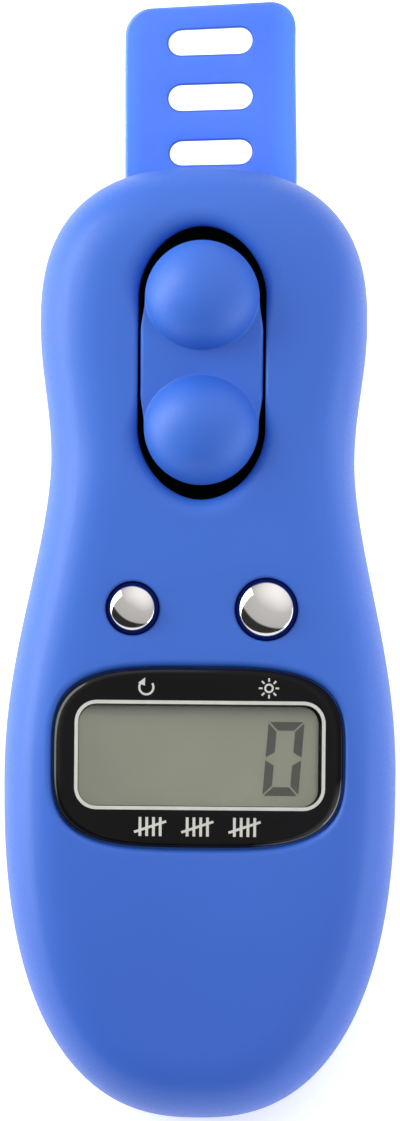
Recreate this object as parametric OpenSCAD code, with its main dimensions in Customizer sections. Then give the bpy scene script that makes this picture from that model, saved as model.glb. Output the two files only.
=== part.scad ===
// Finger-worn digital tally counter.
// Millimetres. Drawn flat: x to the right, y towards the strap end, z out of the face,
// back plane at z = 0; rest() then tips it to the attitude in which it lies on a table
// on its finger ring and its lower end, with the origin under the middle of its box.

/* [Case] */
// Length of the case
body_len = 68; // [67:0.1:70]
// Width of the lower lobe that carries the display
belly_w = 28; // [27.6:0.1:30]
// Width of the upper lobe that carries the count key
head_w = 23.4; // [23:0.1:25]
// Width at the waist between the lobes
waist_w = 21.7; // [21.4:0.1:23]
// Height of the face above the back
crown_z = 13.2; // [13.1:0.05:13.6]
// Wall thickness
wall = 1.6; // [1.5:0.05:1.7]

/* [Keys] */
// Middle of the count key along the case
rocker_y = 19.9; // [19.6:0.1:20.2]
// Width of the count key
rocker_w = 8.6; // [8.2:0.1:8.8]
// Radius of each dome where it leaves the saddle
dome_r = 3.95; // [3.8:0.05:4]
// Height of each dome above the saddle
dome_h = 2.7; // [2.4:0.1:3]
// Diameter of the reset key
reset_d = 3.25; // [3:0.05:3.5]
// Diameter of the light key
light_d = 4.05; // [3.8:0.05:4.3]

/* [Display] */
// Width of the bezel
bezel_w = 20.6; // [20:0.1:21]
// Height of the bezel
bezel_h = 12.7; // [12.4:0.1:13]
// Width of the display window
window_w = 17.4; // [16.5:0.1:17.5]
// Height of the display window
window_h = 7.2; // [7:0.1:7.4]

/* [Strap] */
// Diameter of the finger ring
finger_d = 17; // [16.5:0.1:17.4]
// Width of the strap
strap_w = 12.3; // [11:0.1:12.5]
// Thickness of the strap
strap_t = 1.2; // [1.1:0.05:1.25]
// Distance between the slots
slot_pitch = 4; // [3.8:0.05:4.1]

/* [Battery] */
// Diameter of the coin cell
cell_d = 16; // [15.6:0.1:16]
// Thickness of the coin cell
cell_t = 3.2; // [2:0.1:3.2]

/* [Hidden] */
$fn = 48;

blue = [0.26, 0.42, 0.82];
strap_blue = [0.34, 0.51, 0.98];
steel = [0.7, 0.71, 0.73];
half_l = body_len / 2;
part_z = 5;            // parting plane
face_r = 5.5;            // inset of the face's edge rounding
face_n = 3;          // squareness of that rounding
back_r = 5;            // radius of the back's edge
camber = 0.3;          // rise of the face to its centre line
arch = 1.2;            // fall of the face over its length
head_y = 22.8;
waist_y = 13;
belly_y = -9.5;
head_n = 2.5;
belly_n = 2.45;
lip = 0.75;            // thickness of the overlapping lip at the parting plane

rocker_l = 17.4;
rocker_gap_side = 0.25;
rocker_gap_end = 1.05;
pivot_z = 9.8;
pin_r = 0.75;
saddle_z = 12.5;
plate_z = 10.8;
post_y = 6;
reset_p = [-4.75, 2.4];
light_p = [4.75, 2.4];
key_top = 13.95;
display_y = -8.2;
window_p = [0.2, display_y + 0.2];   // middle of the window, a little off the middle of the bezel
bezel_gap = 0.2;
ledge_z = 11.5;
bezel_top = 13.55;
bezel_sag = 0.32;
bezel_n = 3.5;
rebate_z = 12.9;
lcd_w = 18.2;
lcd_h = 8.3;
board_z = 6;
board_t = 1;
board_top = board_z + board_t;
case_screw_p = [[-7.4, 24.5], [7.4, 24.5], [-7, -24], [7, -24]];
board_screw_p = [[-8.3, -0.6], [8.3, -0.6]];

finger_r = finger_d / 2;
bead_r = 1.4;
ring_y = 13.5;
ring_z = -finger_r - 0.3;
ring_mid = finger_r + strap_t / 2;
bead_y = ring_y - ring_mid;
bead_z = 2.3;
keeper_x = 7.45;
bend_r = 2.5;
flat_z = -0.3 - strap_t / 2;
leg_y = ring_y + ring_mid;
flat_y = leg_y + bend_r;
strap_end = 46;
slot_w = 2.05;
slot_l = 6.2;
slot_y = 27.5;
hook_y = slot_y - 0.6;
swing = 8;             // turn that brings the strap's slot clear of the hook
cell_y = -11;
cell_z = 2.3;
door_r = 8.7;
bore_r = cell_d / 2 + 0.2;
tab_r = 8.65;
way = strap_t / 2 + 0.2;    // half width of the strap's way out
function fan(y, z) = [y * cos(swing + 1) + z * sin(swing + 1), -y * sin(swing + 1) + z * cos(swing + 1)];

// ---- outline of the case, from its driving widths ----
function mix(a, b, t) = a + (b - a) * t;
function ease(t) = (1 - cos(180 * t)) / 2;
function side_x(y) = y > waist_y
  ? mix(head_w, waist_w, ease((head_y - y) / (head_y - waist_y))) / 2
  : mix(waist_w, belly_w, ease(pow((waist_y - y) / (waist_y - belly_y), 0.87))) / 2;
function end_pt(w, n, y0, reach, a) = [w / 2 * pow(cos(a), 2 / n), y0 + reach * pow(sin(a), 2 / n)];
n_head = 10;
n_side = 13;
n_belly = 13;
right_side = concat(
  [for (i = [0:n_head - 1]) end_pt(head_w, head_n, head_y, half_l - head_y, 90 - 90 * i / n_head)],
  [for (i = [0:n_side - 1]) let (y = mix(head_y, belly_y, i / n_side)) [side_x(y), y]],
  [for (i = [0:n_belly]) end_pt(belly_w, belly_n, belly_y, -half_l - belly_y, 90 * i / n_belly)]);
tip = len(right_side) - 1;
outline = concat(right_side, [for (i = [tip - 1:-1:1]) [-right_side[i][0], right_side[i][1]]]);
n_pts = len(outline);
normal = [for (i = [0:n_pts - 1])
  let (t = outline[(i + 1) % n_pts] - outline[(i + n_pts - 1) % n_pts]) [t[1], -t[0]] / norm(t)];
function inset(d) = [for (i = [0:n_pts - 1]) outline[i] + normal[i] * d];
function level(pts, z) = [for (p = pts) [p[0], p[1], z]];

// ---- face and back of the case as rings inset from the outline ----
function crown(y) = crown_z - arch * pow((y - belly_y) / 40, 2);
function run(a) = 1 - pow(cos(a), 2 / face_n);
function climb(a) = pow(sin(a), 2 / face_n);
function face_ring(a, w) = [for (p = inset(w + (face_r - w) * run(a)))
  [p[0], p[1], mix(part_z, crown(p[1]) - camber - w, climb(a))]];
function top_ring(f, w) = [for (p = inset(face_r))
  let (y = mix(p[1], max(-18, min(20, p[1])), f)) [p[0] * (1 - f), y, crown(y) - camber * pow(1 - f, 2) - w]];
function back_ring(a) = level(inset(back_r * (1 - cos(a))), part_z * (1 - sin(a)));
function floor_ring(a) = level(inset(wall + (back_r - wall) * (1 - cos(a))), mix(part_z, wall, sin(a)));

// Skin through rings that all share the same left-right symmetric count of points.
module skin(rings) {
  n = len(rings[0]);
  m = len(rings);
  h = n / 2;
  pts = [for (r = rings) for (p = r) p];
  sides = [for (k = [0:m - 2]) for (i = [0:n - 1]) let (a = k * n + i, b = k * n + (i + 1) % n)
    each [[a, b, b + n], [a, b + n, a + n]]];
  function strip(o, flip) = [for (i = [0:h - 1])
    let (r0 = o + i, r1 = o + i + 1, l1 = o + n - i - 1, l0 = o + (n - i) % n,
      f = i == 0 ? [r0, r1, l1] : i == h - 1 ? [r0, r1, l0] : [r0, r1, l1, l0])
    flip ? [for (j = [len(f) - 1:-1:0]) f[j]] : f];
  polyhedron(pts, concat(strip(0, true), sides, strip((m - 1) * n, false)), 6);
}

module stadium(l, w) {
  square([w, l - w], center = true);
  for (s = [-1, 1]) translate([0, s * (l - w) / 2]) circle(d = w);
}

module round_rect(w, h, r) {
  square([w - 2 * r, h], center = true);
  square([w, h - 2 * r], center = true);
  for (i = [-1, 1], j = [-1, 1]) translate([i * (w / 2 - r), j * (h / 2 - r)]) circle(r);
}

module along_x(y, z, r, l) translate([-l / 2, y, z]) rotate([0, 90, 0]) cylinder(r = r, h = l);
module at(p, z) translate([p[0], p[1], z]) children();
module block(x0, x1, y0, y1, z0, z1) translate([x0, y0, z0]) cube([x1 - x0, y1 - y0, z1 - z0]);

// Bowed outline shared by the bezel and its well
function bow(g) = [for (i = [0:63]) let (a = 90 - 360 * i / 64, c = cos(a), s = sin(a))
  [sign(c) * (bezel_w / 2 + g) * pow(abs(c), 2 / bezel_n),
   display_y + sign(s) * (bezel_h / 2 + g) * pow(abs(s), 2 / bezel_n)]];
function bow_ring(g, drop) = [for (p = bow(g))
  [p[0], p[1], bezel_top - bezel_sag * pow(p[0] / (bezel_w / 2), 2) - drop]];

// ---- case ----
module front_shell() color(blue) difference() {
  union() {
    skin(concat(
      [top_ring(0.75, wall), top_ring(0.4, wall)],
      [for (a = [90, 70, 50, 30]) face_ring(a, wall)],
      [level(inset(wall), part_z + 1.1), level(inset(lip), part_z + 1.1), level(inset(lip), part_z)],
      [for (a = [0, 12, 25, 40, 55, 70, 90]) face_ring(a, 0)],
      [top_ring(0.4, 0), top_ring(0.75, 0)]));
    // screw bosses
    for (p = case_screw_p) at(p, 5.6) cylinder(r = 2.1, h = 6);
    for (p = board_screw_p) at(p, board_top) cylinder(r = 1.5, h = 5);
    // bearings of the count key
    for (s = [-1, 1]) block(s * 5.8 - 0.8, s * 5.8 + 0.8, rocker_y - 2.2, rocker_y + 2.2, 8.1, 11.6);
    // ledge round the display
    translate([0, 0, 10.4]) linear_extrude(1.22) polygon(bow(0.9));
  }
  translate([0, rocker_y, 7.5]) linear_extrude(8)
    stadium(rocker_l + 2 * rocker_gap_end, rocker_w + 2 * rocker_gap_side);
  at(reset_p, 10) cylinder(d = reset_d + 0.6, h = 6);
  at(light_p, 10) cylinder(d = light_d + 0.45, h = 6);
  translate([0, 0, ledge_z]) linear_extrude(4) polygon(bow(bezel_gap));
  translate([0, display_y, 9]) linear_extrude(4) round_rect(lcd_w + 0.3, lcd_h + 0.3, 0.1);
  for (p = case_screw_p) at(p, 5) cylinder(r = 0.86, h = 4);
  for (p = board_screw_p) at(p, board_top - 1) cylinder(r = 0.71, h = 4);
  along_x(rocker_y, pivot_z, pin_r + 0.01, 13);
}

module rear_cover() color(blue) difference() {
  union() {
    skin(concat(
      [for (a = [90, 75, 60, 45, 30, 15, 0]) back_ring(a)],
      [level(inset(lip + 0.1), part_z), level(inset(lip + 0.1), part_z + 0.9), level(inset(wall), part_z + 0.9)],
      [for (a = [0, 20, 40, 60, 90]) floor_ring(a)]));
    for (p = case_screw_p) at(p, 2.4) cylinder(r = 2.6, h = 3.1);
    // cradle of the strap bead
    block(-9, 9, 0.8, 7.6, 1, bead_z);
    // rests of the board
    for (s = [-1, 1]) at([s * 3.3, 12.5], 1) cylinder(r = 1.2, h = board_z - 1.02);
  }
  for (p = case_screw_p) {
    at(p, -1) cylinder(r = 1.75, h = 4.4);
    at(p, 3) cylinder(r = 1, h = 4);
  }
  along_x(bead_y, bead_z, bead_r + 0.05, strap_w + 0.6);
  // fan-shaped way out for the strap over its swing
  strap_side(bead_y, bead_z) translate([0, 0, -strap_w / 2 - 0.3]) linear_extrude(strap_w + 0.6)
    polygon([[way, 0.2], [way, -6], fan(-way, -6) - [0, 2], fan(-way, -6), fan(-way, 0)]);
  for (s = [-1, 1]) at([s * keeper_x, bead_y], 0.6) cylinder(r = 0.66, h = 3);
  // hook seat
  block(-2.75, 2.75, hook_y - 0.05, hook_y + 0.75, -1, 3);
  // battery opening with a ledge and two ways in for the door's tabs
  at([0, cell_y], -1) cylinder(r = door_r + 0.15, h = 1.7);
  at([0, cell_y], -1) cylinder(r = bore_r, h = 4);
  for (s = [0, 180]) at([0, cell_y], -1) rotate([0, 0, s + 45 - 16]) rotate_extrude(angle = 32)
    translate([bore_r - 0.5, 0]) square([tab_r + 0.15 - bore_r + 0.5, 4]);
}

module case_screws() color(steel) for (p = case_screw_p) at(p, 0) difference() {
  union() {
    translate([0, 0, 2.2]) cylinder(r = 1.55, h = 1.18);
    translate([0, 0, 3]) cylinder(r = 0.85, h = 5.6);
  }
  translate([0, 0, 2]) for (a = [0, 90]) rotate(a) block(-1, 1, -0.2, 0.2, 0, 0.75);
}

// ---- keys ----
module count_rocker() color(blue) difference() {
  union() {
    translate([0, rocker_y, plate_z]) linear_extrude(saddle_z - plate_z) stadium(rocker_l, rocker_w);
    for (s = [-1, 1]) intersection() {
      r = (dome_r * dome_r + dome_h * dome_h) / (2 * dome_h);
      translate([0, rocker_y + s * (rocker_l / 2 - dome_r - 0.13), saddle_z + dome_h - r]) sphere(r, $fn = 96);
      translate([-6, rocker_y - 12, saddle_z - 0.4]) cube([12, 24, 6]);
    }
    along_x(rocker_y, pivot_z, 1.6, rocker_w - 0.2);
    for (s = [-1, 1]) at([0, rocker_y + s * post_y], 9.6) cylinder(r = 1.4, h = 2);
  }
  along_x(rocker_y, pivot_z, pin_r + 0.04, 14);
}

module rocker_pin() color(steel) along_x(rocker_y, pivot_z, pin_r, 12.8);

// Collapsing rubber dome standing on the board
module rubber_dome(r_base, r_top, h) rotate_extrude()
  polygon([[0, h - 0.9], [r_top - 0.5, h - 0.9], [r_base - 1.3, 0.35], [r_base - 1.3, 0],
    [r_base, 0], [r_base, 0.4], [r_base - 0.8, 0.4], [r_top, h - 0.8], [r_top, h], [0, h]]);

module rocker_rubber_pad() color([0.55, 0.56, 0.58]) {
  for (s = [-1, 1]) at([0, rocker_y + s * post_y], board_top + 0.02) rubber_dome(2.9, 1.5, 2.54);
  difference() {
    translate([0, rocker_y, board_top + 0.02]) linear_extrude(0.4) stadium(17.8, 7.4);
    for (s = [-1, 1]) at([0, rocker_y + s * post_y], 6) cylinder(r = 2.4, h = 3);
  }
}

module plated_key(d, flange) rotate_extrude() {
  r = d / 2;
  translate([0, 9.62]) square([1.2, 1.2]);
  translate([0, 10.2]) square([flange, 0.8]);
  translate([0, 10.6]) square([r, key_top - 0.55 - 10.6]);
  translate([0, 10.6]) square([r - 0.55, key_top - 10.6]);
  intersection() {
    translate([r - 0.55, key_top - 0.55]) circle(0.55);
    translate([r - 0.7, key_top - 0.7]) square(1);
  }
}

module reset_button() color([0.85, 0.85, 0.86]) at(reset_p, 0) plated_key(reset_d, 2.4);
module light_button() color([0.85, 0.85, 0.86]) at(light_p, 0) plated_key(light_d, 2.7);
module reset_rubber_dome() color([0.55, 0.56, 0.58]) at(reset_p, board_top + 0.02) rubber_dome(2.5, 1.3, 2.56);
module light_rubber_dome() color([0.55, 0.56, 0.58]) at(light_p, board_top + 0.02) rubber_dome(2.5, 1.3, 2.56);

// ---- display ----
module display_bezel() color([0.06, 0.06, 0.07]) difference() {
  skin([level(bow(0), ledge_z + 0.02), bow_ring(0, 0.75), bow_ring(-0.06, 0.4), bow_ring(-0.25, 0.14),
    bow_ring(-0.55, 0.02), bow_ring(-0.9, 0)]);
  translate(concat(window_p, 11)) linear_extrude(4) round_rect(window_w, window_h, 1.2);
  translate([0, display_y, 11]) linear_extrude(rebate_z - 11) round_rect(window_w + 1.3, window_h + 1.3, 0.5);
}

module display_lens() color([0.8, 0.86, 0.9, 0.4])
  translate([0, display_y, rebate_z - 0.52]) linear_extrude(0.5) round_rect(window_w + 1.1, window_h + 1.1, 0.5);

module lcd_panel() color([0.55, 0.55, 0.49])
  translate([0, display_y, 10.22]) linear_extrude(2.1) square([lcd_w, lcd_h], center = true);

module lcd_holder() color([0.92, 0.92, 0.9]) difference() {
  block(-9.6, 9.6, display_y - 5.2, display_y + 5.2, board_top + 0.02, 10.2);
  block(-8, 8, display_y - 2.4, display_y + 2.4, 6, 11);
  for (s = [-1, 1]) block(-8.5, 8.5, display_y + s * 3.5 - 0.8, display_y + s * 3.5 + 0.8, 6, 11);
}

module zebra_strips() color([0.3, 0.3, 0.32])
  for (s = [-1, 1]) block(-8.4, 8.4, display_y + s * 3.5 - 0.7, display_y + s * 3.5 + 0.7, board_top + 0.02, 10.2);

module backlight_guide() color([0.9, 0.92, 0.95])
  block(-7.85, 6.3, display_y - 2.25, display_y + 2.25, 8, 10.18);

module backlight_led() color([0.96, 0.95, 0.85]) {
  block(6.5, 7.7, display_y - 1.2, display_y + 1.2, board_top + 0.02, 9.4);
}

// ---- board and battery ----
module main_board() color([0.1, 0.4, 0.22]) translate([0, 0, board_z]) linear_extrude(board_t) difference() {
  union() {
    translate([-4.7, 2]) square([9.4, 27.4]);
    translate([-9.8, -19]) square([19.6, 23.6]);
  }
  for (p = board_screw_p) translate(p) circle(r = 0.8);
}

module board_screws() color(steel) for (p = board_screw_p) at(p, 0) {
  translate([0, 0, board_z - 0.82]) cylinder(r = 1.3, h = 0.8);
  translate([0, 0, board_z - 0.4]) cylinder(r = 0.7, h = 3.6);
}

module controller_chip() color([0.1, 0.1, 0.1]) at([0, 18], 0) {
  block(-2.5, 2.5, -2.5, 2.5, board_z - 1.1, board_z - 0.15);
  for (s = [-1, 1], i = [-3:3]) block(s * 2.9 - 0.5, s * 2.9 + 0.5, i * 0.65 - 0.12, i * 0.65 + 0.12, board_z - 0.3, board_z - 0.02);
}

module board_components() color([0.55, 0.42, 0.28])
  for (i = [0:5]) let (x = i % 2 == 0 ? -3.4 : 2.4, y = 22.6 + 2 * floor(i / 2))
    block(x, x + 1, y, y + 0.6, board_z - 0.52, board_z - 0.02);

module battery_cell() color(steel) at([0, cell_y], cell_z) {
  cylinder(d = cell_d, h = cell_t - 0.5);
  translate([0, 0, 0.5]) cylinder(d = cell_d - 1.6, h = cell_t - 0.5);
}

module cell_holder() color([0.12, 0.12, 0.13]) at([0, cell_y], 0) difference() {
  translate([0, 0, 2.5]) cylinder(r = cell_d / 2 + 1, h = board_z - 2.52);
  translate([0, 0, 2]) cylinder(r = cell_d / 2 + 0.2, h = 5);
  block(-10, -6, -1.8, 1.8, 2, 7);
}

module battery_contact_positive() color([0.8, 0.7, 0.4]) {
  x = -cell_d / 2 - 0.04;
  block(x - 0.3, x, cell_y - 1.4, cell_y + 1.4, 3, board_z - 0.02);
  block(x - 0.6, x + 1.6, cell_y - 1.4, cell_y + 1.4, board_z - 0.3, board_z - 0.02);
}

module battery_contact_negative() color([0.8, 0.7, 0.4]) at([0, cell_y], 0) {
  block(-4, 4, -1.6, 1.6, board_z - 0.22, board_z - 0.02);
  translate([0, 0, cell_z + cell_t + 0.02]) cylinder(r = 1.3, h = board_z - cell_z - cell_t - 0.12);
}

module battery_door() color(blue) at([0, cell_y], 0) difference() {
  union() {
    translate([0, 0, 0.06]) cylinder(r = door_r, h = 0.58);
    translate([0, 0, 0.3]) cylinder(r = bore_r - 0.15, h = 1.75);
    for (s = [0, 180]) translate([0, 0, 1.66]) rotate([0, 0, s - 14]) rotate_extrude(angle = 28)
      translate([bore_r - 1, 0]) square([tab_r - bore_r + 1, 0.39]);
  }
  translate([0, 0, -1]) linear_extrude(1.8) rotate(90) stadium(11, 1.9);
}

// ---- finger strap: bead, ring, hook bend and slotted tail ----
module strap_side(y, z) translate([0, y, z]) rotate([90, 0, 90]) children();
module strap_bend(r, a) rotate_extrude(angle = a, $fn = 96)
  translate([r - strap_t / 2, -strap_w / 2]) square([strap_t, strap_w]);

module finger_strap() color(strap_blue) difference() {
  union() {
    along_x(bead_y, bead_z, bead_r, strap_w);
    block(-strap_w / 2, strap_w / 2, bead_y - strap_t / 2, bead_y + strap_t / 2, ring_z, bead_z);
    strap_side(ring_y, ring_z) rotate(180) strap_bend(ring_mid, 180);
    block(-strap_w / 2, strap_w / 2, leg_y - strap_t / 2, leg_y + strap_t / 2, ring_z, flat_z - bend_r);
    strap_side(flat_y, flat_z - bend_r) rotate(90) strap_bend(bend_r, 90);
    translate([0, 0, flat_z - strap_t / 2]) linear_extrude(strap_t) {
      translate([-strap_w / 2, flat_y]) square([strap_w, strap_end - 1.6 - flat_y]);
      translate([-strap_w / 2 + 1.6, strap_end - 1.6]) square([strap_w - 3.2, 1.6]);
      for (s = [-1, 1]) translate([s * (strap_w / 2 - 1.6), strap_end - 1.6]) circle(1.6);
    }
  }
  for (i = [0:4]) translate([0, slot_y + slot_pitch * i, flat_z - 2]) linear_extrude(4)
    rotate(90) stadium(slot_l, slot_w);
}

module strap_keeper() color([0.2, 0.2, 0.22]) difference() {
  block(-8.5, 8.5, 1.6, 6.8, bead_z + 0.02, 4.5);
  along_x(bead_y, bead_z, bead_r + 0.05, strap_w + 0.6);
  for (s = [-1, 1]) at([s * keeper_x, bead_y], 1) cylinder(r = 0.7, h = 5);
}

module strap_keeper_screws() color(steel) for (s = [-1, 1]) at([s * keeper_x, bead_y], 0) {
  translate([0, 0, 4.52]) cylinder(r = 1, h = 0.8);
  translate([0, 0, 0.9]) cylinder(r = 0.65, h = 4);
}

module strap_hook() color(blue) {
  block(-2.7, 2.7, hook_y, hook_y + 0.7, -2.5, 2.4);
  block(-2.7, 2.7, hook_y + 0.65, hook_y + 1, -2.5, -1.75);
  block(-3.8, 3.8, hook_y - 1.15, hook_y + 1.65, wall + 0.02, 2.4);
}

// ---- resting attitude ----
rest_dy = ring_y - (-half_l + back_r);
rest_dz = part_z - ring_z;
ring_out = finger_r + strap_t;
tilt = atan2(rest_dz, rest_dy) + asin((ring_out - back_r) / norm([rest_dy, rest_dz]));
lift = ring_out - (ring_y * sin(tilt) + ring_z * cos(tilt));
y_hi = strap_end * cos(tilt) - (flat_z - strap_t / 2) * sin(tilt);
y_lo = min([for (a = [0, 12, 25, 40, 55, 70, 90]) let (p = face_ring(a, 0)[tip]) p[1] * cos(tilt) - p[2] * sin(tilt)]);
module rest() translate([0, -(y_hi + y_lo) / 2, lift]) rotate([tilt, 0, 0]) children();

rest() front_shell();
rest() rear_cover();
rest() case_screws();
rest() count_rocker();
rest() rocker_pin();
rest() rocker_rubber_pad();
rest() reset_button();
rest() reset_rubber_dome();
rest() light_button();
rest() light_rubber_dome();
rest() display_bezel();
rest() display_lens();
rest() lcd_panel();
rest() lcd_holder();
rest() zebra_strips();
rest() backlight_guide();
rest() backlight_led();
rest() main_board();
rest() board_screws();
rest() controller_chip();
rest() board_components();
rest() battery_cell();
rest() cell_holder();
rest() battery_contact_positive();
rest() battery_contact_negative();
rest() battery_door();
rest() finger_strap();
rest() strap_keeper();
rest() strap_keeper_screws();
rest() strap_hook();
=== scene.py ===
import bpy
import bmesh
import math
import numpy as np
from mathutils import Matrix, Vector
from mathutils.geometry import delaunay_2d_cdt


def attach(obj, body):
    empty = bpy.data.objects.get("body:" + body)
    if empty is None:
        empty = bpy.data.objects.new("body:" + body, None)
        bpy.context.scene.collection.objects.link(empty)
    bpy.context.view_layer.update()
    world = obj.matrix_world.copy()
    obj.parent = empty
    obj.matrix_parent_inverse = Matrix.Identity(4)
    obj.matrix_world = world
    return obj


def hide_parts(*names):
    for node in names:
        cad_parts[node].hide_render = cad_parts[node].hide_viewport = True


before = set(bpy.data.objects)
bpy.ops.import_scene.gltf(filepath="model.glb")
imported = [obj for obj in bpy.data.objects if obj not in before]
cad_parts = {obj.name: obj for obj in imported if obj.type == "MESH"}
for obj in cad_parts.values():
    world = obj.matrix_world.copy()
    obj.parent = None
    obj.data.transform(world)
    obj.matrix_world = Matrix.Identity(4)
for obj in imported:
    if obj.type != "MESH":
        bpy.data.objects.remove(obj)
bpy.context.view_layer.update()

sin, cos, pi = math.sin, math.cos, math.pi

# ---------------------------------------------------------------- dimensions (mm, drawn flat as in the CAD)
HALF_L, PART_Z, WALL = 34.0, 5.0, 1.6
HEAD_W, WAIST_W, BELLY_W = 23.4, 21.7, 28.0
HEAD_Y, WAIST_Y, BELLY_Y, HEAD_N, BELLY_N = 22.8, 13.0, -9.5, 2.5, 2.45
CROWN_Z, ARCH, CAMBER, FACE_R, FACE_N = 13.2, 1.2, 0.3, 5.5, 3.0
BACK_R = 5.0
ROCKER_Y, ROCKER_W, ROCKER_L = 19.9, 8.6, 17.4
OPEN_W, OPEN_L = ROCKER_W + 0.5, ROCKER_L + 2.1
SADDLE_Z, PLATE_Z, PIVOT_Z = 12.5, 10.8, 9.8
DOME_R, DOME_H = 4.05, 2.7
RESET, RESET_R, RESET_HOLE = (-4.75, 2.4), 1.625, 1.925
LIGHT, LIGHT_R, LIGHT_HOLE = (4.75, 2.4), 2.025, 2.25
KEY_TOP = 13.95
DISP_Y, BEZ_A, BEZ_B, BEZ_N = -8.2, 10.3, 6.35, 3.5
BEZ_TOP, BEZ_SAG, LEDGE_Z, REBATE_Z = 13.55, 0.32, 11.5, 12.9
WIN_X, WIN_Y, WIN_W, WIN_H = 0.13, -8.0, 17.25, 7.2
STRAP_T, STRAP_W, STRAP_END, SLOT_Y = 1.2, 12.3, 46.0, 27.5
RING_Y, RING_Z, RING_MID = 13.5, -8.8, 9.1
BEAD_Y, BEAD_Z = 4.4, 2.3
CELL_Y = -11.0
SCREWS = [(-7.4, 24.5), (7.4, 24.5), (-7.0, -24.0), (7.0, -24.0)]

# resting attitude: on the finger ring and the lower end
_dy, _dz = RING_Y - (-HALF_L + BACK_R), PART_Z - RING_Z
TILT = math.atan2(_dz, _dy) + math.asin((9.7 - BACK_R) / math.hypot(_dy, _dz))
LIFT = 9.7 - (RING_Y * sin(TILT) + RING_Z * cos(TILT))


def crown(y):
    return CROWN_Z - ARCH * ((y - BELLY_Y) / 40.0) ** 2


def _cad_low_y():
    best = 1e9
    for a in (0, 12, 25, 40, 55, 70, 90):
        r = math.radians(a)
        y = -HALF_L + FACE_R * (1 - max(0.0, cos(r)) ** (2 / FACE_N))
        z = PART_Z + (crown(y) - CAMBER - PART_Z) * sin(r) ** (2 / FACE_N)
        best = min(best, y * cos(TILT) - z * sin(TILT))
    return best


SHIFT = -((STRAP_END * cos(TILT) + 1.5 * sin(TILT)) + _cad_low_y()) / 2
REST = Matrix.Translation((0, SHIFT / 1000, LIFT / 1000)) @ Matrix.Rotation(TILT, 4, "X") @ Matrix.Scale(0.001, 4)


def W(x, y, z):
    return REST @ Vector((x, y, z))


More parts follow.
